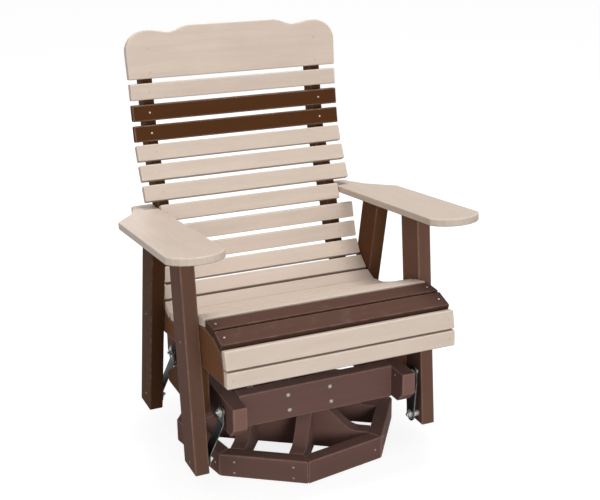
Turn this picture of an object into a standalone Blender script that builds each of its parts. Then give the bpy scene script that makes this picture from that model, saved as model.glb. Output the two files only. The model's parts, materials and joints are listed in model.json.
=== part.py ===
"""Swivel glider chair in lumber boards: a seat hung on four steel links from a turning frame.

Metres, +Z up, the chair faces -Y. Left means the -X side. The ground is z = 0.
"""
import math

import bmesh
import bpy
from mathutils import Matrix, Vector

# Boards
boardThickness = 0.0381
legWidth = 0.0885
slatLength = 0.610
slatThickness = 0.022
backSlatWidth = 0.0445
seatSlatWidth = 0.054
noseUpperWidth = 0.047
noseLowerWidth = 0.041
noseSlatWidths = (noseUpperWidth, noseLowerWidth)
edgeRound = 0.0028
fitGap = 0.0003
weldDistance = 0.00001

# Widths across the chair, measured from its middle plane: all follow the slats
slatEndGap = 0.001
armInnerReach = 0.0365
armOuterReach = 0.1065
armOuterRearReach = 0.1055
armTailReach = 0.028
armTailShoulderReach = 0.044
armBlockReach = 0.0245
railLegGap = 0.051
backRibThickness = 0.032
legInnerX = slatLength / 2 + slatEndGap
armInnerX = legInnerX - armInnerReach
armOuterX = legInnerX + armOuterReach
armOuterRearX = legInnerX + armOuterRearReach
armTailOuterX = legInnerX + armTailReach
armTailShoulderX = legInnerX + armTailShoulderReach
armBlockOuterX = legInnerX + armBlockReach
railOuterX = legInnerX - railLegGap
backRibOuterX = legInnerX - boardThickness - fitGap * 2

# Seat and back: the slats follow the ribs from the valley where they meet
valleyY = 0.056
valleyZ = 0.3625
valleyGap = 0.0135
backGap = 0.0122
hollowGap = 0.0135
seatGap = 0.0072
noseGap = 0.001
noseRise = 0.0095
backAngles = (68, 52, 33, 17, 14, 22, 26, 27, 23, 11, 8, 9)
hollowSlats = 3
seatAngles = (98, 109, 112, 112, 102, 86, 70.5, 13, 2)
noseSlats = len(noseSlatWidths)
shortSlat = 8
shortSlatGap = 0.0006

# Crest board
crestAngle = 7.0
crestFootReach = 0.001
crestShoulderReach = 0.003
crestFoot = slatLength / 2 + crestFootReach
crestShoulder = slatLength / 2 + crestShoulderReach
crestSideHeight = 0.074
crestShoulderHeight = 0.130
crestShoulderRadius = 0.062
crestDipHeight = 0.1215
crestCentreHeight = 0.137
crestDipX = 0.182
crestCentreX = 0.126
crestPeakX = 0.243
crestRibReach = 0.108

# Ribs
backRibDepth = 0.058
backRibTopDepth = 0.046
seatRibDrop = 0.088
seatRibRearY = 0.193
seatRibRearTopZ = 0.386

# Legs and arms
legFootZ = 0.051
frontLegFootY = -0.228
frontLegTopY = -0.1745
rearLegFootY = 0.175
rearLegTopY = 0.047
armThickness = 0.0195
armSlope = 0.0833
armLevelY = -0.014
armLevelZ = 0.6415
armInnerFrontY = -0.303
armOuterFrontY = -0.300
armFrontBulge = 0.0435
armTailY = 0.268
armCornerY = 0.124
armTailShoulderY = 0.213
armCornerRadius = 0.014

# Blocks behind the arms' tails, on the outer sides of the back ribs
armBlockDepth = 0.0365
armBlockCornerRadius = 0.012

# Brackets inside the front legs, under the seat ribs
bracketFrontY = -0.137
bracketTopRearY = -0.107
bracketTailY = 0.103
bracketTailTopZ = 0.199
bracketFootZ = 0.167
bracketCornerRadius = 0.006

# Turning frame
railHalfLength = 0.273
railHeight = 0.086
railChamferLength = 0.028
railChamferHeight = 0.027
crossRailInset = 0.0585
crossRailRise = 0.0045
crossRailFaceY = railHalfLength - crossRailInset
centreRailLeftX = -0.080
centreRailRightX = 0.038
centreRailXs = (centreRailLeftX, centreRailRightX)

# Swivel bearing
plateSide = 0.200
plateThickness = 0.003
plateCornerRadius = 0.012
turntableRadius = 0.088
turntableHeight = 0.0075

# Base
baseTurn = -35.0
ringApothem = 0.2835
ringHeight = 0.0635
ringSides = 8
gridOffset = 0.078
gridTopZ = 0.137
gridFootZ = 0.009
humpHalfLength = 0.100
humpFallLength = 0.115

# Links
linkWidth = 0.038
linkThickness = 0.0035
linkTopZ = 0.203
linkFootZ = 0.079
frontLinkY = -0.202
rearLinkY = 0.205
linkBendTopZ = 0.176
linkBendFootZ = 0.094
leftTopSpacer = 0.0055
rightTopSpacer = 0.032
leftFootSpacer = 0.0025
rightFootSpacer = 0.0205
linkTopSpacers = {"left": leftTopSpacer, "right": rightTopSpacer}
linkFootSpacers = {"left": leftFootSpacer, "right": rightFootSpacer}
spacerRadius = 0.009
washerRadius = 0.0135
washerThickness = 0.0015
nutRadius = 0.0085
nutHeight = 0.0055
studRadius = 0.004
studReach = 0.013

# Finishes: linear colour, roughness, metallic
finishes = {
    "sand": ((0.660, 0.545, 0.450), 0.62, 0.0),
    "chestnut": ((0.120, 0.062, 0.042), 0.58, 0.0),
    "blackSteel": ((0.012, 0.012, 0.013), 0.42, 0.6),
    "zinc": ((0.560, 0.560, 0.550), 0.34, 1.0),
}


def clearScene():
    for item in list(bpy.data.objects):
        bpy.data.objects.remove(item, do_unlink=True)


def makeCollection(name):
    collection = bpy.data.collections.get(name) or bpy.data.collections.new(name)
    if collection.name not in bpy.context.scene.collection.children:
        bpy.context.scene.collection.children.link(collection)
    return collection


def makeEmpty(name, place, parent):
    empty = bpy.data.objects.new(name, None)
    empty.empty_display_size = washerRadius
    partsCollection.objects.link(empty)
    empty.parent = parent
    bpy.context.view_layer.update()
    empty.matrix_world = Matrix.Translation(place)
    bpy.context.view_layer.update()
    return empty


def paint(item, finish):
    colour, roughness, metallic = finishes[finish]
    material = bpy.data.materials.new(item.name + "_finish")
    material.use_nodes = True
    shader = material.node_tree.nodes["Principled BSDF"]
    shader.inputs["Base Color"].default_value = (*colour, 1.0)
    shader.inputs["Roughness"].default_value = roughness
    shader.inputs["Metallic"].default_value = metallic
    material.diffuse_color = (*colour, 1.0)
    item.data.materials.append(material)


def roundEdges(item, width):
    bevel = item.modifiers.new("rounded edges", "BEVEL")
    bevel.width = width
    bevel.segments = 2
    bevel.limit_method = "ANGLE"
    bevel.angle_limit = math.radians(40)


def addPart(name, mesh, matrix, parent, finish, edge=edgeRound):
    item = bpy.data.objects.new(name, mesh)
    partsCollection.objects.link(item)
    item.matrix_world = matrix
    item.parent = parent
    item.matrix_parent_inverse = parent.matrix_world.inverted()
    paint(item, finish)
    if edge:
        roundEdges(item, edge)
    return item


def boxMesh(name, size):
    shape = bmesh.new()
    bmesh.ops.create_cube(shape, size=1)
    bmesh.ops.scale(shape, verts=shape.verts, vec=size)
    mesh = bpy.data.meshes.new(name)
    shape.to_mesh(mesh)
    shape.free()
    return mesh


def outlineMesh(name, points, thickness):
    """Flat outline, filled and extruded half its thickness to each side of its plane."""
    curve = bpy.data.curves.new(name + " outline", "CURVE")
    curve.dimensions = "2D"
    curve.fill_mode = "BOTH"
    curve.extrude = thickness / 2
    spline = curve.splines.new("POLY")
    spline.points.add(len(points) - 1)
    for target, (across, along) in zip(spline.points, points):
        target.co = (across, along, 0, 1)
    spline.use_cyclic_u = True
    sketch = bpy.data.objects.new(name + " outline", curve)
    partsCollection.objects.link(sketch)
    evaluated = sketch.evaluated_get(bpy.context.evaluated_depsgraph_get())
    mesh = bpy.data.meshes.new_from_object(evaluated)
    bpy.data.objects.remove(sketch)
    shape = bmesh.new()
    shape.from_mesh(mesh)
    bmesh.ops.remove_doubles(shape, verts=shape.verts, dist=weldDistance)
    bmesh.ops.dissolve_limit(shape, angle_limit=math.radians(1), verts=shape.verts, edges=shape.edges)
    bmesh.ops.recalc_face_normals(shape, faces=shape.faces)
    shape.to_mesh(mesh)
    shape.free()
    mesh.name = name
    mesh.materials.clear()
    return mesh


def roundCorners(corners, steps=3):
    """Outline from (a, b, radius) corners, each radius an arc that touches both its sides."""
    points = []
    count = len(corners)
    for index, (a, b, radius) in enumerate(corners):
        here = Vector((a, b))
        if not radius:
            points.append((a, b))
            continue
        before = (Vector(corners[index - 1][:2]) - here).normalized()
        after = (Vector(corners[(index + 1) % count][:2]) - here).normalized()
        half = before.angle(after) / 2
        centre = here + (before + after).normalized() * (radius / math.sin(half))
        start = here + before * (radius / math.tan(half)) - centre
        sweep = start.angle_signed(here + after * (radius / math.tan(half)) - centre)
        for step in range(steps + 1):
            turned = Matrix.Rotation(-sweep * step / steps, 2) @ start
            points.append(tuple(centre + turned))
    return points


def alongX(x, y=0.0, z=0.0):
    """Frame of a board whose outline is drawn in Y and Z, with its thickness along X."""
    return Matrix.Translation((x, y, z)) @ Matrix(((0, 0, 1, 0), (1, 0, 0, 0), (0, 1, 0, 0), (0, 0, 0, 1)))


def travel(angle):
    """Unit step down the back and forward over the seat; 0 is straight down, 90 forward."""
    turn = math.radians(angle)
    return Vector((-math.sin(turn), -math.cos(turn)))


def outward(angle):
    """Unit step from a rib towards the sitter at the same angle."""
    turn = math.radians(angle)
    return Vector((-math.cos(turn), math.sin(turn)))


def walkSlats(start, angles, widths, gaps, direction):
    """Seats of the slats on the rib line: (upper end, lower end, angle) for each slat in turn."""
    place = Vector(start)
    seats = []
    for index, (angle, width) in enumerate(zip(angles, widths)):
        if index:
            between = (angles[index - 1] + angle) / 2
            place = place + travel(between) * (gaps[index - 1] * direction)
        other = place + travel(angle) * (width * direction)
        seats.append((place, other, angle) if direction > 0 else (other, place, angle))
        place = other
    return seats


def backSeats():
    count = len(backAngles)
    gaps = [hollowGap if index < hollowSlats else backGap for index in range(count)]
    return walkSlats((valleyY + valleyGap, valleyZ), backAngles, [backSlatWidth] * count, gaps, -1)


def seatSeats():
    count = len(seatAngles)
    firstNose = count - noseSlats
    widths = [seatSlatWidth] * firstNose
    gaps = [seatGap if index < firstNose - 2 else noseGap for index in range(count)]
    seats = walkSlats((valleyY, valleyZ), seatAngles[:firstNose], widths, gaps, 1)
    # the first nose slat stands a little up in front of the last seat slat
    _, end, angle = seats[-1]
    start = end + travel(angle) * noseGap + outward(angle) * noseRise
    return seats + walkSlats(start, seatAngles[firstNose:], noseSlatWidths, gaps[firstNose:], 1)


def crestBase(seats):
    """Where the crest board's lower edge meets the rib line."""
    upper, _, angle = seats[-1]
    return upper - travel((angle + crestAngle) / 2) * backGap


def makeSlat(name, upper, lower, angle, length, finish, parent):
    middle = (upper + lower) / 2 + outward(angle) * (slatThickness / 2 + fitGap)
    width = (lower - upper).length
    mesh = boxMesh(name, (length, slatThickness, width))
    matrix = Matrix.Translation((0, middle.x, middle.y)) @ Matrix.Rotation(math.radians(-angle), 4, "X")
    return addPart(name, mesh, matrix, parent, finish)


def makeSlats(parent):
    shortLength = 2 * (legInnerX - boardThickness - shortSlatGap)
    for index, (upper, lower, angle) in enumerate(backSeats()):
        number = len(backAngles) + 1 - index
        length = shortLength if number == shortSlat else slatLength
        finish = "chestnut" if number in (3, 4) else "sand"
        makeSlat("back_slat_%02d" % number, upper, lower, angle, length, finish, parent)
    seats = seatSeats()
    browns = range(len(seats) - noseSlats - 2, len(seats) - noseSlats)
    for index, (upper, lower, angle) in enumerate(seats):
        nose = index >= len(seats) - noseSlats
        name = "apron_slat_%d" % (index + 1 - len(seats) + noseSlats) if nose else "seat_slat_%d" % (index + 1)
        finish = "chestnut" if index in browns else "sand"
        makeSlat(name, upper, lower, angle, slatLength, finish, parent)


def ease(x, startX, endX, startHeight, endHeight):
    """Height on a half wave between two level stretches."""
    share = min(max((x - startX) / (endX - startX), 0), 1)
    return startHeight + (endHeight - startHeight) * (1 - math.cos(math.pi * share)) / 2


def crestTop(x):
    if x < crestDipX:
        return ease(x, crestCentreX, crestDipX, crestCentreHeight, crestDipHeight)
    return ease(x, crestDipX, crestPeakX, crestDipHeight, crestShoulderHeight)


def makeCrest(parent):
    steps = 7
    half = [(crestFoot, 0), (crestShoulder, crestSideHeight)]
    centreX = crestShoulder - crestShoulderRadius
    for step in range(1, steps):
        turn = math.pi / 2 * step / steps
        rise = crestShoulderHeight - crestSideHeight
        half.append((centreX + crestShoulderRadius * math.cos(turn), crestSideHeight + rise * math.sin(turn)))
    for step in range(steps + 1):
        x = centreX + (crestCentreX - centreX) * step / steps
        half.append((x, crestTop(x)))
    points = half + [(-x, height) for x, height in reversed(half)]
    foot = crestBase(backSeats()) + outward(crestAngle) * (slatThickness / 2 + fitGap)
    stand = Matrix.Rotation(math.radians(90 - crestAngle), 4, "X")
    mesh = outlineMesh("crest_board", points, slatThickness)
    addPart("crest_board", mesh, Matrix.Translation((0, foot.x, foot.y)) @ stand, parent, "sand")


def seatRibFoot(y):
    """Height of the seat rib's straight lower edge, which drops towards the back."""
    nose = seatSeats()[-1][1]
    return nose.y - (y - nose.x) * seatRibDrop


def backRibOutline():
    seats = backSeats()
    foot = crestBase(seats)
    top = foot - travel(crestAngle) * crestRibReach
    front = [tuple(top), tuple(foot)]
    rear = [tuple(top - outward(crestAngle) * backRibTopDepth)]
    count = len(seats)
    for index, (upper, lower, angle) in enumerate(reversed(seats)):
        front += [tuple(upper), tuple(lower)]
        depthShare = min(1, (index + 1) / (count / 2))
        depth = backRibTopDepth + (backRibDepth - backRibTopDepth) * depthShare
        rear.append(tuple((upper + lower) / 2 - outward(angle) * depth))
    rear.append(tuple(seats[0][1] - outward(seats[0][2]) * backRibDepth))
    return front + list(reversed(rear))


def seatRibOutline():
    seats = seatSeats()
    back = backSeats()
    top = [tuple(back[1][0]), tuple(back[1][1]), tuple(back[0][0]), tuple(back[0][1])]
    for index, (upper, lower, angle) in enumerate(seats):
        if index == len(seats) - noseSlats:
            upper = upper + travel(angle) * noseRise
        top += [tuple(upper), tuple(lower)]
    return [(seatRibRearY, seatRibRearTopZ)] + top + [(seatRibRearY, seatRibFoot(seatRibRearY))]


def makeRibs(parent, side, sideName):
    seatRibX = legInnerX - fitGap - boardThickness / 2
    backRibX = backRibOuterX - backRibThickness / 2
    name = "seat_rib_" + sideName
    mesh = outlineMesh(name, seatRibOutline(), boardThickness)
    addPart(name, mesh, alongX(side * seatRibX), parent, "chestnut")
    name = "back_rib_" + sideName
    mesh = outlineMesh(name, backRibOutline(), backRibThickness)
    addPart(name, mesh, alongX(side * backRibX), parent, "chestnut")


def armUnderside(y):
    return armLevelZ - (y - armLevelY) * armSlope - armThickness


def makeLeg(name, side, footY, topY, parent):
    """Board with a level foot, its top cut to the arm above it."""
    topZ = armUnderside(topY) - fitGap
    backTopZ = armUnderside(topY + legWidth) - fitGap
    outline = [(footY, legFootZ), (footY + legWidth, legFootZ), (topY + legWidth, backTopZ), (topY, topZ)]
    mesh = outlineMesh(name, outline, boardThickness)
    addPart(name, mesh, alongX(side * (legInnerX + boardThickness / 2)), parent, "chestnut")


def arcThrough(start, end, bulge, steps):
    """Points strictly between two ends of an arc whose middle stands off by the bulge."""
    start, end = Vector(start), Vector(end)
    chord = end - start
    radius = chord.length ** 2 / (8 * bulge) + bulge / 2
    normal = Vector((chord.y, -chord.x)).normalized()
    centre = (start + end) / 2 + normal * (bulge - radius)
    sweep = 2 * math.asin(chord.length / (2 * radius))
    points = []
    for step in range(1, steps):
        turned = Matrix.Rotation(sweep * step / steps, 2) @ (start - centre)
        points.append(tuple(centre + turned))
    return points


def armOutline():
    front = arcThrough((armInnerX, armInnerFrontY), (armOuterX, armOuterFrontY), armFrontBulge, 9)
    corners = [(armInnerX, armTailY, armCornerRadius / 2), (armInnerX, armInnerFrontY, armCornerRadius / 2)]
    corners += [(x, y, 0) for x, y in front]
    corners += [(armOuterX, armOuterFrontY, armCornerRadius / 2), (armOuterRearX, armCornerY, armCornerRadius)]
    corners += [(armTailShoulderX, armTailShoulderY, armCornerRadius)]
    corners += [(armTailOuterX, armTailY, armCornerRadius)]
    return roundCorners(corners)


def inArmPlane(name, points, parent):
    """Board of the arms' thickness that lies in their sloping plane."""
    mesh = outlineMesh(name, [(x, y - armLevelY) for x, y in points], armThickness)
    tilt = Matrix.Rotation(-math.atan(armSlope), 4, "X")
    place = Matrix.Translation((0, armLevelY, armLevelZ - armThickness / 2))
    addPart(name, mesh, place @ tilt, parent, "sand")


def makeArm(name, side, parent):
    inArmPlane(name, [(side * x, y) for x, y in armOutline()], parent)


def makeArmBlock(name, side, parent):
    """Short board from the outer side of a back rib to the end of the arm's tail."""
    innerX = backRibOuterX + fitGap
    frontY = armTailY + fitGap
    rearY = frontY + armBlockDepth
    corners = [(innerX, frontY, 0), (armBlockOuterX, frontY, 0)]
    corners += [(armBlockOuterX, rearY, armBlockCornerRadius), (innerX, rearY, 0)]
    inArmPlane(name, [(side * x, y) for x, y in roundCorners(corners)], parent)


def makeBracket(name, side, parent):
    corner = bracketCornerRadius
    corners = [(bracketFrontY, bracketFootZ, corner), (bracketTailY, bracketFootZ, corner)]
    corners += [(bracketTailY, bracketTailTopZ, corner)]
    corners += [(y, seatRibFoot(y) - fitGap, 0) for y in (bracketTopRearY, bracketFrontY)]
    mesh = outlineMesh(name, roundCorners(corners), boardThickness)
    addPart(name, mesh, alongX(side * (legInnerX - fitGap - boardThickness / 2)), parent, "chestnut")


def makeSeatAssembly(parent):
    makeSlats(parent)
    makeCrest(parent)
    for side, sideName in ((-1, "left"), (1, "right")):
        makeRibs(parent, side, sideName)
        makeLeg("leg_front_" + sideName, side, frontLegFootY, frontLegTopY, parent)
        makeLeg("leg_rear_" + sideName, side, rearLegFootY, rearLegTopY, parent)
        makeArm("arm_" + sideName, side, parent)
        makeArmBlock("arm_block_" + sideName, side, parent)
        makeBracket("seat_bracket_" + sideName, side, parent)


def lowerPlateZ():
    return gridTopZ + fitGap


def upperPlateZ():
    return lowerPlateZ() + plateThickness + turntableHeight + fitGap


def railFootZ():
    return upperPlateZ() + plateThickness + fitGap


def railOutline():
    foot = railFootZ()
    top = foot + railHeight
    slope = railHalfLength - railChamferLength
    rise = foot + railChamferHeight
    return [(-slope, foot), (slope, foot), (railHalfLength, rise), (railHalfLength, top),
            (-railHalfLength, top), (-railHalfLength, rise)]


def makeTurningFrame(parent):
    railX = railOuterX - boardThickness / 2
    for side, sideName in ((-1, "left"), (1, "right")):
        name = "side_rail_" + sideName
        addPart(name, outlineMesh(name, railOutline(), boardThickness), alongX(side * railX), parent, "chestnut")
    middleZ = railFootZ() + railHeight / 2
    crossLength = 2 * (railOuterX - boardThickness - fitGap)
    for facing, name in ((-1, "cross_rail_front"), (1, "cross_rail_rear")):
        mesh = boxMesh(name, (crossLength, boardThickness, railHeight + crossRailRise))
        place = (0, facing * (crossRailFaceY - boardThickness / 2), middleZ + crossRailRise / 2)
        addPart(name, mesh, Matrix.Translation(place), parent, "chestnut")
    centreLength = 2 * (crossRailFaceY - boardThickness - fitGap)
    for railX, sideName in zip(centreRailXs, ("left", "right")):
        name = "centre_rail_" + sideName
        mesh = boxMesh(name, (boardThickness, centreLength, railHeight))
        addPart(name, mesh, Matrix.Translation((railX, 0, middleZ)), parent, "chestnut")
    makePlate("swivel_plate_upper", upperPlateZ(), parent)


def plateOutline():
    half = plateSide / 2
    signs = ((1, 1), (-1, 1), (-1, -1), (1, -1))
    return roundCorners([(half * a, half * b, plateCornerRadius) for a, b in signs])


def makePlate(name, footZ, parent):
    mesh = outlineMesh(name, plateOutline(), plateThickness)
    matrix = parent.matrix_world @ Matrix.Translation((0, 0, footZ + plateThickness / 2))
    return addPart(name, mesh, matrix, parent, "zinc", edge=0)


def makeLowerPlate(parent):
    """Lower plate with the turntable race joined to it."""
    plate = makePlate("swivel_plate_lower", lowerPlateZ(), parent)
    shape = bmesh.new()
    height = turntableHeight + plateThickness / 2
    lift = Matrix.Translation((0, 0, height / 2))
    bmesh.ops.create_cone(shape, cap_ends=True, segments=32, radius1=turntableRadius,
                          radius2=turntableRadius, depth=height, matrix=lift)
    mesh = bpy.data.meshes.new("turntable")
    shape.to_mesh(mesh)
    shape.free()
    race = bpy.data.objects.new("turntable", mesh)
    guidesCollection.objects.link(race)
    race.matrix_world = plate.matrix_world
    race.hide_render = True
    race.display_type = "WIRE"
    race.parent = parent
    race.matrix_parent_inverse = parent.matrix_world.inverted()
    join = plate.modifiers.new("turntable", "BOOLEAN")
    join.operation = "UNION"
    join.object = race


def hump(distance):
    """Height of a base grid board: tall over the middle, falling on a half wave to the ring's height."""
    return ease(abs(distance), humpHalfLength, humpHalfLength + humpFallLength, gridTopZ, ringHeight)


def gridOutline(notchFromTop):
    """Half of a halved joint: two notches, from the top or from the foot, where the boards cross."""
    end = ringApothem - boardThickness - fitGap
    steps = 12
    edgeTop = []
    for step in range(steps + 1):
        distance = humpHalfLength + humpFallLength * step / steps
        edgeTop.append((distance, hump(distance)))
    edgeTop.append((end, ringHeight))
    middleZ = (gridTopZ + gridFootZ) / 2
    reach = boardThickness / 2 + fitGap
    inner, outer = gridOffset - reach, gridOffset + reach
    notchZ = middleZ - fitGap / 2 if notchFromTop else middleZ + fitGap / 2
    openZ = gridTopZ if notchFromTop else gridFootZ
    notch = [(inner, openZ), (inner, notchZ), (outer, notchZ), (outer, openZ)]
    if notchFromTop:
        half = notch + edgeTop + [(end, gridFootZ)]
        mirrored = [(-a, z) for a, z in reversed(half)]
        return half + mirrored
    right = edgeTop + [(end, gridFootZ)] + list(reversed(notch))
    mirrored = [(-a, z) for a, z in reversed(right)]
    return right + mirrored


def makeBase(parent):
    turn = parent.matrix_world.copy()
    halfOuter = ringApothem * math.tan(math.pi / ringSides) - fitGap
    halfInner = (ringApothem - boardThickness) * math.tan(math.pi / ringSides) - fitGap
    inner = ringApothem - boardThickness
    outline = [(-halfOuter, -ringApothem), (halfOuter, -ringApothem), (halfInner, -inner), (-halfInner, -inner)]
    for index in range(ringSides):
        name = "base_ring_%d" % (index + 1)
        mesh = outlineMesh(name, outline, ringHeight)
        spin = Matrix.Rotation(2 * math.pi * index / ringSides, 4, "Z")
        addPart(name, mesh, turn @ spin @ Matrix.Translation((0, 0, ringHeight / 2)), parent, "chestnut")
    acrossFrame = Matrix.Rotation(math.pi / 2, 4, "X")
    for facing, name in ((-1, "base_cross_front"), (1, "base_cross_rear")):
        mesh = outlineMesh(name, gridOutline(True), boardThickness)
        place = Matrix.Translation((0, facing * gridOffset, 0))
        addPart(name, mesh, turn @ place @ acrossFrame, parent, "chestnut", edge=0)
    for side, name in ((-1, "base_brace_left"), (1, "base_brace_right")):
        mesh = outlineMesh(name, gridOutline(False), boardThickness)
        addPart(name, mesh, turn @ alongX(side * gridOffset), parent, "chestnut", edge=0)
    makeLowerPlate(parent)


def cylinderMesh(name, radius, length, sides):
    """Cylinder along X about its own centre."""
    shape = bmesh.new()
    bmesh.ops.create_cone(shape, cap_ends=True, segments=sides, radius1=radius, radius2=radius,
                          depth=length, matrix=Matrix.Rotation(math.pi / 2, 4, "Y"))
    mesh = bpy.data.meshes.new(name)
    shape.to_mesh(mesh)
    shape.free()
    return mesh


def makeTool(name, mesh, matrix, parent):
    tool = bpy.data.objects.new(name, mesh)
    guidesCollection.objects.link(tool)
    tool.matrix_world = matrix
    tool.parent = parent
    tool.matrix_parent_inverse = parent.matrix_world.inverted()
    tool.hide_render = True
    tool.display_type = "WIRE"
    return tool


def joinTool(item, tool, operation):
    modifier = item.modifiers.new(tool.name, "BOOLEAN")
    modifier.operation = operation
    modifier.object = tool


def linkProfile(side, sideName):
    """Strap seen from the front, as (x, z) from the upper pivot: straight, bent sideways, straight."""
    innerTop = railOuterX + fitGap + linkTopSpacers[sideName]
    outerFoot = legInnerX - fitGap - linkFootSpacers[sideName]
    shift = outerFoot - linkThickness - innerTop
    reach = linkWidth
    bendTop = linkBendTopZ - linkTopZ
    bendFoot = linkBendFootZ - linkTopZ
    foot = linkFootZ - linkTopZ - reach
    inner = [(0, reach), (0, bendTop), (shift, bendFoot), (shift, foot)]
    outer = [(x + linkThickness, z) for x, z in inner]
    profile = inner + list(reversed(outer))
    return [(side * (innerTop + x), z) for x, z in profile]


def stadium(length):
    """Strap seen from the side: round ends about both pivots, drawn down from the upper one."""
    steps = 12
    radius = linkWidth / 2
    points = []
    for step in range(steps + 1):
        turn = math.pi * step / steps
        points.append((radius * math.cos(turn), radius * math.sin(turn)))
    for step in range(steps + 1):
        turn = math.pi + math.pi * step / steps
        points.append((radius * math.cos(turn), radius * math.sin(turn) - length))
    return points


def makeLink(name, side, sideName, pivotY, parent):
    """Steel strap with its two pivot bolts; its origin is on the upper pivot's axis."""
    pivot = Matrix.Translation((0, pivotY, linkTopZ))
    frontFrame = Matrix.Rotation(math.pi / 2, 4, "X")
    mesh = outlineMesh(name, linkProfile(side, sideName), 4 * linkWidth)
    strap = addPart(name, mesh, pivot @ frontFrame, parent, "blackSteel", edge=0)
    shape = outlineMesh(name + " shape", stadium(linkTopZ - linkFootZ), legInnerX)
    place = pivot @ alongX(side * legInnerX)
    joinTool(strap, makeTool(name + " shape", shape, place, parent), "INTERSECT")
    middle = linkThickness / 2
    spacers = (linkTopSpacers[sideName], linkFootSpacers[sideName])
    top = (railOuterX + fitGap + spacers[0] + middle, spacers[0], 1, linkTopZ)
    foot = (legInnerX - fitGap - spacers[1] - middle, spacers[1], -1, linkFootZ)
    washerReach = middle + washerThickness
    nutReach = washerReach + nutHeight
    for strapX, spacer, facing, z in (top, foot):
        pieces = (("spacer", spacerRadius, -middle - spacer, 24), ("washer", washerRadius, washerReach, 24),
                  ("nut", nutRadius, nutReach, 6), ("stud", studRadius, studReach, 12))
        for part, radius, reach, sides in pieces:
            tool = cylinderMesh(name + " " + part, radius, abs(reach), sides)
            place = Matrix.Translation((side * (strapX + facing * reach / 2), pivotY, z))
            joinTool(strap, makeTool(name + " " + part, tool, place, parent), "UNION")


def centreOverFootprint(root):
    """Shift the whole chair along Y so that its bounding box is centred on the origin."""
    bpy.context.view_layer.update()
    depsgraph = bpy.context.evaluated_depsgraph_get()
    ys = []
    for item in partsCollection.objects:
        if item.type == "MESH":
            evaluated = item.evaluated_get(depsgraph)
            ys += [(evaluated.matrix_world @ Vector(corner)).y for corner in evaluated.bound_box]
    root.location.y -= (min(ys) + max(ys)) / 2
    bpy.context.view_layer.update()


def buildChair():
    root = makeEmpty("glider_root", (0, 0, 0), None)
    base = makeEmpty("base_frame", (0, 0, 0), root)
    base.rotation_euler.z = math.radians(baseTurn)
    bpy.context.view_layer.update()
    makeBase(base)
    swivel = makeEmpty("swivel_axis", (0, 0, 0), root)
    makeTurningFrame(swivel)
    for side, sideName in ((-1, "left"), (1, "right")):
        makeLink("link_front_" + sideName, side, sideName, frontLinkY, swivel)
        makeLink("link_rear_" + sideName, side, sideName, rearLinkY, swivel)
    seat = makeEmpty("seat_hanger", (0, frontLinkY, linkFootZ), swivel)
    makeSeatAssembly(seat)
    centreOverFootprint(root)


clearScene()
partsCollection = makeCollection("swivel_glider")
guidesCollection = makeCollection("guides")
buildChair()
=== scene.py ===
import json
import math

import bmesh
import bpy
from mathutils import Matrix, Vector


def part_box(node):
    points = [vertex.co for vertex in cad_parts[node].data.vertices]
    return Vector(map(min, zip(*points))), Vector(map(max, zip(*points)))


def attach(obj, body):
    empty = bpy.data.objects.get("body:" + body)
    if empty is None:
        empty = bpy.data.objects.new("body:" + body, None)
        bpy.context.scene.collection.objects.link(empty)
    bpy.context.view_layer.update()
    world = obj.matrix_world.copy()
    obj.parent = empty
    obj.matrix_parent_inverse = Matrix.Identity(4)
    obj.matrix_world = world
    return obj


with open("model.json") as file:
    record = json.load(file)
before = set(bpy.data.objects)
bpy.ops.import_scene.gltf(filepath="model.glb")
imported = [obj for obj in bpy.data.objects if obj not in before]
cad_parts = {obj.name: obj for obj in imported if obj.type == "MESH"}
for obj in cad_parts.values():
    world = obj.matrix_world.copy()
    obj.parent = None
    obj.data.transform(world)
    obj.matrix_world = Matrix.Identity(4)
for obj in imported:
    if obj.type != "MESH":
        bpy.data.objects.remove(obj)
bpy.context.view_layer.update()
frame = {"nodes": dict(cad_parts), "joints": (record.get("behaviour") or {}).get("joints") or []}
nodes = frame["nodes"]
sides = (-1, 1)  # left and right
swivelY = frame["joints"][0]["pos_m"][1]
print("frame loaded:", len(nodes), "solids")


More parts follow.
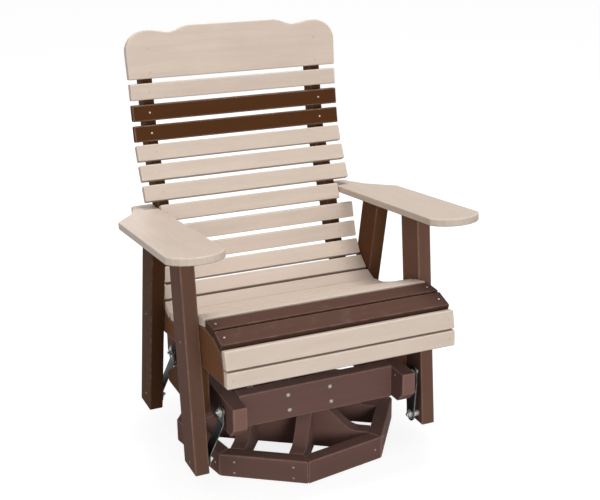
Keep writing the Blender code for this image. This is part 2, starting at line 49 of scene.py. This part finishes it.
class Wire:
    # wraps a node socket, so that sums on it add Math nodes
    def __init__(self, socket):
        self.socket = socket
        self.tree = socket.id_data

    def node(self, kind, settings=None, sockets=None, out=0):
        made = self.tree.nodes.new(kind)
        for key, value in (settings or {}).items():
            if key == "stops":
                fillRamp(made.color_ramp, value)
            else:
                setattr(made, key, value)
        for key, value in (sockets or {}).items():
            if isinstance(value, Wire):
                self.tree.links.new(value.socket, made.inputs[key])
            else:
                made.inputs[key].default_value = value
        return Wire(made.outputs[out])

    def maths(self, operation, *values):
        return self.node("ShaderNodeMath", {"operation": operation}, dict(enumerate(values)))

    def __add__(self, other):
        return self.maths("ADD", self, other)

    def __radd__(self, other):
        return self.maths("ADD", other, self)

    def __sub__(self, other):
        return self.maths("SUBTRACT", self, other)

    def __rsub__(self, other):
        return self.maths("SUBTRACT", other, self)

    def __mul__(self, other):
        return self.maths("MULTIPLY", self, other)

    def __rmul__(self, other):
        return self.maths("MULTIPLY", other, self)

    def __gt__(self, other):
        return self.maths("GREATER_THAN", self, other)

    def __abs__(self):
        return self.maths("ABSOLUTE", self)

    def most(self, other):
        return self.maths("MAXIMUM", self, other)

    def vector(self, operation, *values, out=0):
        return self.node("ShaderNodeVectorMath", {"operation": operation}, dict(enumerate(values)), out)

    def dot(self, direction):
        return self.vector("DOT_PRODUCT", self, direction, out="Value")

    def shift(self, offset):
        return self.vector("ADD", self, offset)

    def length(self):
        return self.vector("LENGTH", self, out="Value")

    def ease(self, low, high):
        # rises smoothly from 0 at low to 1 at high
        ends = {"Value": self, "From Min": low, "From Max": high}
        return self.node("ShaderNodeMapRange", {"interpolation_type": "SMOOTHSTEP"}, ends)

    def blend(self, under, over, way="MIX", share=None):
        # the wire is the mask, but where a fixed share is given
        settings = {"data_type": "RGBA", "blend_type": way}
        sockets = {0: self if share is None else share, 6: under, 7: over}
        return self.node("ShaderNodeMix", settings, sockets, 2)

    def noise(self, scale, detail, rough):
        grain = {"Vector": self, "Scale": scale, "Detail": detail, "Roughness": rough}
        return self.node("ShaderNodeTexNoise", None, grain)

    def rounded(self, radius):
        return self.node("ShaderNodeBevel", {"samples": 6}, {"Radius": radius})

    def edgeMask(self, width, low, high):
        # near an edge the rounded normal leans away from the flat one
        flat = self.node("ShaderNodeNewGeometry", None, None, "True Normal")
        return (1 - self.rounded(width).dot(flat)).ease(low, high)


def fillRamp(ramp, stops):
    while len(ramp.elements) < len(stops):
        ramp.elements.new(0.5)
    for element, (place, colour) in zip(ramp.elements, stops):
        element.position = place
        element.color = (*colour, 1.0)


def linear(red, green, blue):
    # from the 0 to 255 values of a picture to linear light
    parts = [part / 255 for part in (red, green, blue)]
    return tuple(part / 12.92 if part <= 0.04045 else ((part + 0.055) / 1.055) ** 2.4 for part in parts)


def solid(colour):
    return (*colour, 1.0)


def newMaterial(name):
    material = bpy.data.materials.new(name)
    material.use_nodes = True
    shader = material.node_tree.nodes["Principled BSDF"]
    place = material.node_tree.nodes.new("ShaderNodeTexCoord")
    return material, shader, Wire(place.outputs["Object"]), Wire(place.outputs["Normal"])


def feed(shader, name, wire):
    wire.tree.links.new(wire.socket, shader.inputs[name])


def feedBump(shader, height, strength, depth, edgeRound=None):
    sockets = {"Strength": strength, "Distance": depth, "Height": height}
    if edgeRound:
        sockets["Normal"] = height.rounded(edgeRound)
    feed(shader, "Normal", height.node("ShaderNodeBump", None, sockets))


def dress(item, material):
    item.data.materials.clear()
    item.data.materials.append(material)


def valueFor(name, table, otherwise):
    # value of the table's first key that the name starts with
    return next((value for start, value in table.items() if name.startswith(start)), otherwise)


# Board finish: extruded plastic lumber. A noise is given as its scale, detail and roughness
boardLook = {
    "sand": linear(215, 198, 183),
    # painted light and shade: the brown tones are lit and shaded copies of one brown material
    "chestnut": linear(112, 84, 77),
    "walnut": linear(94, 68, 59),
    "umber": linear(83, 51, 28),
    "cocoa": linear(105, 77, 65),
    "bark": linear(85, 56, 37),
    "russet": linear(116, 76, 50),
    "stretch": 0.07,  # how far the grain is drawn out along the board
    "streaks": (55, 4, 0.62),
    "fibres": (420, 3, 0.6),
    "patches": (7, 2, 0.5),
    "pores": (900, 2, 0.7),
    "scuffs": (38, 4, 0.7),
    "dust": (23, 5, 0.65),
    "streakTone": 0.20,  # how much the streaks, patches and fibres lighten or darken
    "patchTone": 0.12,
    "fibreTone": 0.10,
    "grainDepth": 0.00022,
    "edgeRound": 0.0016,
    "edgeWidth": 0.0026,
    "edgeLean": (0.002, 0.016),  # how far a rounded normal leans where the worn and painted-highlight edge starts and is full
    "edgeHighlight": 0.80,  # painted highlight and wear: how much of every edge shows lighter
    "faintEdgeHighlight": 0.25,  # the same, on the boards in faintEdged
    # colours of the lighter edges: painted highlight and wear
    "paleWear": linear(231, 218, 206),
    "brownWear": linear(160, 131, 117),
    "seatSideShade": 0.55,  # painted shade: how much darker the narrow sides of the seat's brown boards are
    "underShade": 0.60,  # and, also as painted shade, the undersides of the pale boards
    "sideShadeTone": linear(38, 22, 16),
    "paleUnderShade": linear(112, 102, 86),
    "dustTone": linear(196, 184, 172),
    "paleDust": 0.10,
    "brownDust": 0.07,
    "paleRoughness": 0.56,
    "brownRoughness": 0.66,
    "paleShine": 0.20,
    "brownShine": 0.035,
    "paleEnds": 0.12,  # how much lighter the ends are: painted light on the pale boards, lighter sawn ends on the brown boards
    "brownEnds": 0.50,
    "endLean": (0.80, 0.95),  # how far a face has to look along the board to be an end
    "endPores": 0.18,  # how much the pores darken the ends
}
# the brown tones given to boards are painted light and shade of one brown material
boardTones = {  # all others are chestnut
    "back_slat_03": "umber", "back_slat_04": "umber", "seat_slat_6": "walnut", "seat_slat_7": "walnut",
    "back_slat": "sand", "seat_slat": "sand", "apron_slat": "sand", "crest_board": "sand", "arm_": "sand",
    "leg_front": "cocoa", "leg_rear": "bark", "back_rib": "bark", "seat_bracket": "bark",
    "seat_rib": "russet",
}
paintedLightTrim = {  # painted light and shade: factors on the colour of single boards that look lighter or darker in the photo
    "crest_board": 1.05, "arm_left": 0.95, "arm_right": 0.89, "back_slat_05": 0.95, "back_slat_06": 0.95,
    "back_slat_07": 0.95, "back_slat_08": 0.97, "seat_slat_1": 1.05, "seat_slat_2": 1.05, "seat_slat_3": 1.05,
    "seat_slat_4": 1.05, "seat_slat_5": 1.05, "apron_slat_2": 1.09, "leg_front_right": 1.20,
    "leg_rear_right": 1.22, "leg_rear_left": 0.84, "cross_rail": 1.12, "base_brace": 1.28, "base_cross": 1.22,
}
faintEdged = ("seat_slat_6", "seat_slat_7", "leg_rear", "back_rib")
metalNodes = ("link_", "swivel_plate")

baseTurn = math.radians(-35)
baseU = Vector((math.cos(baseTurn), math.sin(baseTurn), 0))
baseV = Vector((-math.sin(baseTurn), math.cos(baseTurn), 0))
boardRuns = {  # which way a board runs, where it isn't from side to side
    "base_cross": baseU, "base_brace": baseV, "leg_front": (0, 0.090, 1), "leg_rear": (0, -0.215, 1),
    "back_rib": (0, 0.28, 1), "seat_rib": (0, 1, 0), "seat_bracket": (0, 1, 0), "side_rail": (0, 1, 0),
    "centre_rail": (0, 1, 0), "arm_left": (0, 1, 0), "arm_right": (0, 1, 0),
}


def faceEnds(name):
    # ends of a ring board: the two points of its foot that are furthest apart
    points = [vertex.co for vertex in nodes[name].data.vertices if vertex.co.z < 0.01]
    middle = sum(points, Vector()) / len(points)
    first = max(points, key=lambda point: (point - middle).length)
    return first, max(points, key=lambda point: (point - first).length)


def toneOf(name):
    return valueFor(name, boardTones, "chestnut")


def boardDirection(name):
    if name.startswith("base_ring"):
        low, high = faceEnds(name)
        return (high - low).normalized()
    return Vector(valueFor(name, boardRuns, (1, 0, 0))).normalized()


def boardMarks(place, facing, along, seed):
    # the noises and masks that a board's colour, roughness and bump share
    side = along.cross(Vector((0.31, 0.74, 0.59))).normalized()
    third = along.cross(side)
    axes = {"X": place.dot(along) * boardLook["stretch"], "Y": place.dot(side), "Z": place.dot(third)}
    drawnOut = place.node("ShaderNodeCombineXYZ", None, axes).shift((seed * 0.37, seed * 0.11, seed * 0.23))
    return {
        "streaks": drawnOut.noise(*boardLook["streaks"]),
        "fibres": drawnOut.noise(*boardLook["fibres"]),
        "patches": place.shift((seed, 0, seed)).noise(*boardLook["patches"]),
        "pores": place.shift((0, seed, 0)).noise(*boardLook["pores"]),
        "ends": abs(facing.dot(along)).ease(*boardLook["endLean"]),
        "edges": place.edgeMask(boardLook["edgeWidth"], *boardLook["edgeLean"]),
    }


def boardColour(place, facing, marks, name, tone, kind):
    shade = 1 + (marks["streaks"] - 0.5) * boardLook["streakTone"]
    shade = shade + (marks["patches"] - 0.5) * boardLook["patchTone"]
    shade = shade + (marks["fibres"] - 0.5) * boardLook["fibreTone"]
    pores = marks["pores"].ease(0.45, 0.62) * boardLook["endPores"]
    # lighter ends: painted light on the pale boards, lighter sawn ends on the brown boards
    shade = shade * (1 + marks["ends"] * (boardLook[kind + "Ends"] - pores))
    shade = place.node("ShaderNodeCombineXYZ", None, {"X": shade, "Y": shade, "Z": shade})
    # painted light and shade: each board's colour is lightened or darkened by its factor
    plain = solid([part * valueFor(name, paintedLightTrim, 1) for part in boardLook[tone]])
    base = shade.blend(plain, shade, "MULTIPLY", 1)
    # painted highlight and wear: a lighter line along every edge, with scuffs
    line = boardLook["faintEdgeHighlight" if name.startswith(faintEdged) else "edgeHighlight"]
    edgeBlend = marks["edges"] * (line + place.noise(*boardLook["scuffs"]).ease(0.42, 0.66) * 0.6)
    base = (edgeBlend * 0.80).blend(base, solid(boardLook[kind + "Wear"]))
    # painted shade: the narrow sides of the seat's brown boards are darkened
    if tone == "walnut":
        shadedSides = (0.65 - facing.dot((0, 0, 1))).ease(0, 0.2)
        base = (shadedSides * boardLook["seatSideShade"]).blend(base, solid(boardLook["sideShadeTone"]))
    # painted shade: the pale boards are darkened on their undersides
    if kind == "pale":
        below = facing.dot((0, 0, -1)).ease(0.12, 0.45)
        base = (below * boardLook["underShade"]).blend(base, solid(boardLook["paleUnderShade"]))
    dust = place.noise(*boardLook["dust"]).ease(0.55, 0.78) * facing.dot((0, 0, 1)).ease(0.3, 0.9)
    return (dust * boardLook[kind + "Dust"]).blend(base, solid(boardLook["dustTone"]))


def boardFinish(name, seed):
    tone = toneOf(name)
    kind = "pale" if tone == "sand" else "brown"
    material, shader, place, facing = newMaterial("board_" + name)
    marks = boardMarks(place, facing, boardDirection(name), seed)
    feed(shader, "Base Color", boardColour(place, facing, marks, name, tone, kind))
    rough = boardLook[kind + "Roughness"] + (marks["fibres"] - 0.5) * 0.16 + (marks["patches"] - 0.5) * 0.10
    feed(shader, "Roughness", rough + marks["ends"] * 0.20 - marks["edges"] * 0.05)
    height = marks["fibres"] * 0.55 + marks["streaks"] * 0.35 + marks["pores"] * (0.25 + marks["ends"] * 0.9)
    feedBump(shader, height, 0.55, boardLook["grainDepth"], boardLook["edgeRound"])
    shader.inputs["Specular IOR Level"].default_value = boardLook[kind + "Shine"]
    return material


for number, name in enumerate(sorted(nodes)):
    if not name.startswith(metalNodes):
        dress(nodes[name], boardFinish(name, number + 1))
print("boards finished")

# Links: black coated straps with bright zinc spacers, washers, nuts and bolt ends
linkLook = {
    "coat": linear(24, 24, 25),
    "deepCoat": linear(17, 17, 18),
    "bareEdge": linear(150, 150, 148),
    "zinc": linear(206, 206, 202),
    "dullZinc": linear(168, 168, 163),
    "brightZinc": linear(222, 221, 214),
    "stain": linear(120, 108, 92),
    "zincReach": 0.0150,  # from the pivot's axis, all but the strap itself is zinc
    "zincFade": 0.0006,
    "strapHalf": 0.00185,  # half the strap's thickness, with a hair to spare
    "metal": 0.65,
    "edgeWidth": 0.0012,
    "edgeLean": (0.03, 0.25),
    "edgeRound": 0.0006,
    "coatDepth": 0.00012,
    "zincDepth": 0.0001,
    "footHeight": 0.079,
    "left": (0.26255, 0.30145),  # the strap's middle at its top and foot pivots
    "right": (0.28905, 0.28345),
}


def zincParts(place):
    # colour, roughness and bump height of zinc plate, shared by the nuts, plates and bolts
    cloud = place.noise(60, 4, 0.6)
    fine = place.noise(700, 2, 0.6)
    stops = [(0.30, linkLook["dullZinc"]), (0.52, linkLook["zinc"]), (0.75, linkLook["brightZinc"])]
    colour = cloud.node("ShaderNodeValToRGB", {"stops": stops}, {"Fac": cloud})
    return colour, 0.26 + cloud * 0.14 + fine * 0.08, fine * 0.5 + cloud * 0.5


def nearPivot(place, pivotY, pivotZ, strapX):
    # 1 around a pivot's axis, but for the strap's own faces, which stay black
    reach = place.shift((0, -pivotY, -pivotZ))
    reach = reach.vector("MULTIPLY", reach, (0, 1, 1)).length()
    near = 1 - reach.ease(linkLook["zincReach"] - linkLook["zincFade"], linkLook["zincReach"])
    return near * (abs(abs(place.dot((1, 0, 0))) - strapX) > linkLook["strapHalf"])


def linkFinish(name, pivot):
    material, shader, place, facing = newMaterial("strap_" + name)
    topX, footX = linkLook[name.split("_")[-1]]
    zinc = nearPivot(place, pivot.y, pivot.z, topX)
    zinc = zinc.most(nearPivot(place, pivot.y, linkLook["footHeight"], footX))
    colour, rough, height = zincParts(place)
    edges = place.edgeMask(linkLook["edgeWidth"], *linkLook["edgeLean"])
    front = facing.dot((0, -1, 0)).ease(0.5, 0.9)
    bare = (edges * 0.20).most(front * place.noise(45, 3, 0.6).ease(0.30, 0.60) * 0.55)
    mottle = place.noise(300, 3, 0.6)
    stops = [(0.35, linkLook["deepCoat"]), (0.65, linkLook["coat"])]
    coat = mottle.node("ShaderNodeValToRGB", {"stops": stops}, {"Fac": mottle})
    feed(shader, "Base Color", zinc.blend(bare.blend(coat, solid(linkLook["bareEdge"])), colour))
    feed(shader, "Metallic", (bare * 0.9).most(zinc * linkLook["metal"]))
    feed(shader, "Roughness", zinc * rough + (1 - zinc) * (0.38 + mottle * 0.16))
    feedBump(shader, mottle * (1 - zinc) + height * zinc, 0.5, linkLook["coatDepth"], linkLook["edgeRound"])
    return material


def zincFinish(name, wear, dull=0.0):
    # wear: how strong the stains are; dull: how far the whole piece has dulled
    material, shader, place, facing = newMaterial(name)
    colour, rough, height = zincParts(place)
    stain = dull + place.noise(26, 5, 0.7).ease(0.50, 0.75) * (wear - dull)
    feed(shader, "Base Color", stain.blend(colour, solid(linkLook["stain"])))
    feed(shader, "Roughness", rough + stain * 0.25)
    feed(shader, "Metallic", 1 - stain * 0.35)
    feedBump(shader, height, 0.4, linkLook["zincDepth"])
    return material


for joint in frame["joints"]:
    if joint["child"].startswith("link_"):
        dress(nodes[joint["child"]], linkFinish(joint["child"], Vector(joint["pos_m"])))
for name in ("swivel_plate_upper", "swivel_plate_lower"):
    dress(nodes[name], zincFinish("plate_" + name, 0.5))
print("metal finished")


def faceOf(name, towards):
    # middle and normal of a node's largest flat face that looks roughly towards a direction
    towards = Vector(towards).normalized()
    mesh = nodes[name].data
    sums = {}
    for face in mesh.polygons:
        if face.normal.dot(towards) > 0.35:
            key = tuple(round(part, 2) for part in face.normal)
            sums[key] = sums.get(key, 0) + face.area
    normal = Vector(max(sums, key=sums.get)).normalized()
    middle, area = Vector(), 0
    for face in mesh.polygons:
        if face.normal.dot(normal) > 0.9995:
            middle += face.center * face.area
            area += face.area
    return middle / area, normal


lobeCount = 6  # of the drives in the screws
fastenerTurn = 0.77  # how much further each head is turned than the last


def circle(shape, radius, height, count, lobes):
    points = []
    for index in range(count):
        turn = 2 * math.pi * index / count
        reach = radius * (1 + lobes * math.cos(lobeCount * turn))
        points.append(shape.verts.new((reach * math.cos(turn), reach * math.sin(turn), height)))
    return points


def latheInto(shape, profile, count, matrix):
    # closed turned form; a profile step is (radius, height, lobes)
    start = len(shape.verts)
    circles = [circle(shape, radius, height, count, lobes) for radius, height, lobes in profile]
    for lower, upper in zip(circles, circles[1:]):
        for index in range(count):
            following = (index + 1) % count
            shape.faces.new((lower[index], lower[following], upper[following], upper[index]))
    shape.faces.new(list(reversed(circles[0])))
    shape.faces.new(circles[-1])
    shape.verts.ensure_lookup_table()
    bmesh.ops.transform(shape, matrix=matrix, verts=shape.verts[start:])


def standOn(point, normal, spin):
    turn = Vector((0, 0, 1)).rotation_difference(Vector(normal))
    return Matrix.Translation(point) @ turn.to_matrix().to_4x4() @ Matrix.Rotation(spin, 4, "Z")


def fastenerObject(name, body, spots, build, material):
    # one piece that holds every fastener of a kind on a body
    shape = bmesh.new()
    for index, (point, normal) in enumerate(spots):
        build(shape, standOn(point, normal, index * fastenerTurn))
    bmesh.ops.recalc_face_normals(shape, faces=shape.faces)
    mesh = bpy.data.meshes.new(name)
    shape.to_mesh(mesh)
    shape.free()
    for face in mesh.polygons:
        face.use_smooth = False
    item = bpy.data.objects.new(name, mesh)
    bpy.context.scene.collection.objects.link(item)
    dress(item, material)
    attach(item, body)


# Screws: flat heads with a six-lobe drive, a hair below the board
screwLook = {
    "radius": 0.0035,
    "dome": 0.0005,
    "sink": 0.0008,
    "drive": 0.0013,
    "corners": 24,
    "small": 0.72,  # size of the small heads
    "coatDepth": 0.0001,
    "coat": linear(206, 188, 172),
    "paleCoat": linear(238, 222, 208),
    "bareRim": linear(170, 168, 162),
}


def screwHead(shape, matrix):
    radius, drive, dome, sink = (screwLook[key] for key in ("radius", "drive", "dome", "sink"))
    profile = [
        (radius * 0.8, -sink * 1.5, 0), (radius, -0.0002, 0), (radius * 0.97, dome * 0.5, 0),
        (radius * 0.80, dome, 0), (drive, dome, 0.16), (drive * 0.86, -sink, 0.16),
        (drive * 0.2, -sink * 1.1, 0)]
    latheInto(shape, profile, screwLook["corners"], matrix)


def smallHead(shape, matrix):
    screwHead(shape, matrix @ Matrix.Scale(screwLook["small"], 4))


# Bolts: domed round heads on a washer
boltLook = {"radius": 0.0043, "height": 0.0026, "washer": 0.0056, "washerHeight": 0.0008, "corners": 28}


def boltHead(shape, matrix):
    radius, height, washer, base = (boltLook[key] for key in ("radius", "height", "washer", "washerHeight"))
    plate = [(washer, -0.0004, 0), (washer, base * 0.7, 0), (washer * 0.95, base, 0), (radius * 0.6, base, 0)]
    latheInto(shape, plate, boltLook["corners"], matrix)
    dome = [(radius, base - 0.0003, 0), (radius, base + height * 0.35, 0)]
    for step in range(1, 5):
        turn = math.pi / 2 * step / 5
        dome.append((radius * math.cos(turn), base + height * (0.35 + 0.65 * math.sin(turn)), 0))
    latheInto(shape, dome, boltLook["corners"], matrix)


def coatedFinish(name, colour):
    # screws painted in the tone of the pale boards, worn at their rims
    material, shader, place, facing = newMaterial(name)
    grain = place.noise(500, 3, 0.6)
    cloud = place.noise(90, 3, 0.6)
    edgeBlend = (abs(facing.dot((1, 0, 0))) + grain * 0.4).ease(0.9, 1.2)
    darker = solid([part * 0.90 for part in colour])
    lighter = solid([min(1, part * 1.12) for part in colour])
    base = cloud.blend(darker, lighter)
    feed(shader, "Base Color", (edgeBlend * 0.4).blend(base, solid(screwLook["bareRim"])))
    feed(shader, "Roughness", 0.40 + grain * 0.16)
    feedBump(shader, grain, 0.3, screwLook["coatDepth"])
    return material


screwSteel = zincFinish("screw_steel", 0.8, 0.45)
screwCoat = coatedFinish("screw_coat", screwLook["coat"])
screwPale = coatedFinish("screw_pale", screwLook["paleCoat"])

# Screws in the ends of the slats, and two at each end of the crest board
slatScrews = {
    "back": 0.252,  # how far out from the middle
    "seat": 0.288,
    "apron": 0.290,
    "crest": 0.245,
    "umber": {-1: 0.2570, 1: 0.2475},  # on each side
    "crestHeights": (1.039, 0.976),
}
spots, brownSpots = [], []
for name in sorted(nodes):
    if name.startswith(("back_slat", "seat_slat", "apron_slat")):
        middle, normal = faceOf(name, (0, -0.6, 0.8))
        tone = toneOf(name)
        for side in sides:
            out = slatScrews["umber"][side] if tone == "umber" else slatScrews[name.split("_")[0]]
            kept = spots if tone == "sand" else brownSpots
            kept.append((Vector((side * out, middle.y, middle.z)), normal))
middle, normal = faceOf("crest_board", (0, -1, 0.1))
up = Vector((0, normal.z, -normal.y)).normalized()  # along the face
for side in sides:
    for height in slatScrews["crestHeights"]:
        point = middle + up * ((height - middle.z) / up.z)
        spots.append((Vector((side * slatScrews["crest"], point.y, point.z)), normal))
fastenerObject("pale_slat_screws", "seat", spots, screwHead, screwCoat)
fastenerObject("brown_slat_screws", "seat", brownSpots, smallHead, screwPale)

# Screws and pivot bolts on the outside of the legs, as distances behind the swivel axis and heights
legSpots = {
    "rearScrew": (0.153, 0.353),
    "frontScrew": (-0.154, 0.389),
    "rearPivot": (0.205, 0.092),
    "frontPivot": (-0.185, 0.072),
}
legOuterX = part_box("leg_front_right")[1].x
spots = []
for side in sides:
    for y, z in legSpots.values():
        spots.append((Vector((side * legOuterX, y + swivelY, z)), Vector((side, 0, 0))))
fastenerObject("leg_screws", "seat", spots, smallHead, screwSteel)

# Bolts through the cross rails into the centre rails
railBolts = {"columns": (-0.080, 0.038), "heights": (0.218, 0.175), "lean": -0.0035}
spots = []
for name, facing in (("cross_rail_front", -1), ("cross_rail_rear", 1)):
    low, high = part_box(name)
    face = low.y if facing < 0 else high.y
    for x in railBolts["columns"]:
        for row, z in enumerate(railBolts["heights"]):
            spots.append((Vector((x + railBolts["lean"] * (1 - row), face, z)), Vector((0, facing, 0))))
fastenerObject("cross_rail_bolts", "swivel_frame", spots, boltHead, screwSteel)

# Screws at the ends of the side rails, two outside and one inside
railScrews = {"outerHeights": (0.174, 0.217), "outerReach": 0.1955, "innerHeight": 0.221, "innerReach": 0.232}
low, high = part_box("side_rail_right")
spots = []
for side in sides:
    for end in (-1, 1):
        y = end * railScrews["outerReach"] + swivelY
        spots += [(Vector((side * high.x, y, z)), Vector((side, 0, 0))) for z in railScrews["outerHeights"]]
    for end in (-1, 1):
        y = end * railScrews["innerReach"] + swivelY
        spots.append((Vector((side * low.x, y, railScrews["innerHeight"])), Vector((-side, 0, 0))))
fastenerObject("rail_screws", "swivel_frame", spots, screwHead, screwSteel)

# Screws of the base ring: into the cross boards, the braces and the mitres
ringScrews = {"heights": (0.044, 0.013), "offsets": (-0.078, 0.078), "mitre": 0.096, "mitreHeight": 0.031}
spots = []
for name in sorted(name for name in nodes if name.startswith("base_ring")):
    low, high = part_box(name)
    away = (low + high) / 2 - Vector((0, swivelY, 0))
    middle, normal = faceOf(name, (away.x, away.y, 0))
    along = Vector((-normal.y, normal.x, 0))
    foot = Vector((middle.x, middle.y, 0))
    if max(abs(normal.dot(baseU)), abs(normal.dot(baseV))) > 0.9:
        for offset in ringScrews["offsets"]:
            spots += [(foot + along * offset + Vector((0, 0, z)), normal) for z in ringScrews["heights"]]
    else:
        spots.append((foot + along * ringScrews["mitre"] + Vector((0, 0, ringScrews["mitreHeight"])), normal))
fastenerObject("ring_screws", "base", spots, smallHead, screwSteel)
print("fasteners made")

# Camera at the photograph's place, which is measured from the swivel axis
cameraLook = {
    "place": (-1.059, -2.5387, 1.456),
    "yaw": 23.56,
    "pitch": 18.59,
    "roll": -0.71,
    "lens": 65.35,
    "sensor": 36,
}
yaw, pitch, roll = (math.radians(cameraLook[key]) for key in ("yaw", "pitch", "roll"))
ahead = Vector((math.sin(yaw) * math.cos(pitch), math.cos(yaw) * math.cos(pitch), -math.sin(pitch)))
right = ahead.cross(Vector((0, 0, 1))).normalized()
above = right.cross(ahead)
lean = Matrix.Rotation(-roll, 3, ahead)
turned = Matrix((lean @ right, lean @ above, -ahead)).transposed()
place = Vector(cameraLook["place"]) + Vector((0, swivelY, 0))
camera = bpy.data.objects.new("camera", bpy.data.cameras.new("camera"))
camera.data.lens = cameraLook["lens"]
camera.data.sensor_width = cameraLook["sensor"]
camera.matrix_world = Matrix.Translation(place) @ turned.to_4x4()
bpy.context.scene.collection.objects.link(camera)
bpy.context.scene.camera = camera

# Light: one soft lamp high above, one low in front, weak ones at the left and behind, and an even white room
lampLook = {
    "high": {"place": (0.4, -0.1, 4.8), "size": 1.8, "power": 100},
    "low": {"place": (-0.4, -4.6, 1.1), "size": 1.6, "power": 77},
    "left": {"place": (-3.4, -1.6, 1.5), "size": 1.6, "power": 12},
    "back": {"place": (0.3, 4.5, 1.1), "size": 2.0, "power": 28},
}
lampAim = Vector((0, 0, 0.5))
roomLight = 0.42
for name, look in lampLook.items():
    lamp = bpy.data.lights.new(name + "_lamp", "AREA")
    lamp.shape = "DISK"
    lamp.size = look["size"]
    lamp.energy = look["power"]
    item = bpy.data.objects.new(name + "_lamp", lamp)
    turn = (lampAim - Vector(look["place"])).to_track_quat("-Z", "Y")
    item.matrix_world = Matrix.Translation(look["place"]) @ turn.to_matrix().to_4x4()
    bpy.context.scene.collection.objects.link(item)


def seenRays(tree):
    # 1 for rays that come straight from the camera or that polished and clear pieces pass on
    path = tree.nodes.new("ShaderNodeLightPath").outputs
    kinds = ("Camera", "Glossy", "Transmission")
    straight, glossy, through = (Wire(path["Is %s Ray" % kind]) for kind in kinds)
    return straight.most(glossy).most(through)


world = bpy.data.worlds.new("room")
world.use_nodes = True
bpy.context.scene.world = world
background = world.node_tree.nodes["Background"]
background.inputs["Color"].default_value = (1, 1, 1, 1)
feed(background, "Strength", roomLight + seenRays(world.node_tree) * (1 - roomLight))

# Floor: pale, white to the camera, with a soft shadow
floorLook = {"size": 30, "drop": 0.0004, "colour": 0.45, "glow": 0.84, "shadowed": 0.34}
floorShape = bmesh.new()
bmesh.ops.create_grid(floorShape, x_segments=4, y_segments=4, size=floorLook["size"])
floorMesh = bpy.data.meshes.new("floor")
floorShape.to_mesh(floorMesh)
floorShape.free()
floor = bpy.data.objects.new("floor", floorMesh)
floor.location.z = -floorLook["drop"]
bpy.context.scene.collection.objects.link(floor)
floorMaterial = bpy.data.materials.new("floor_paint")
floorMaterial.use_nodes = True
tree = floorMaterial.node_tree
tree.nodes.clear()
seen = seenRays(tree)
paint = seen.node("ShaderNodeBsdfDiffuse", None, {"Color": solid([floorLook["colour"]] * 3)})
shown = seen.node("ShaderNodeBsdfDiffuse", None, {"Color": solid([floorLook["shadowed"]] * 3)})
glow = seen.node("ShaderNodeEmission", None, {"Color": (1, 1, 1, 1), "Strength": floorLook["glow"]})
shown = seen.node("ShaderNodeAddShader", None, {0: shown, 1: glow})
surface = seen.node("ShaderNodeMixShader", None, {0: seen, 1: paint, 2: shown})
feed(tree.nodes.new("ShaderNodeOutputMaterial"), "Surface", surface)
dress(floor, floorMaterial)

bpy.context.scene.view_settings.view_transform = "Standard"
print("room lit")
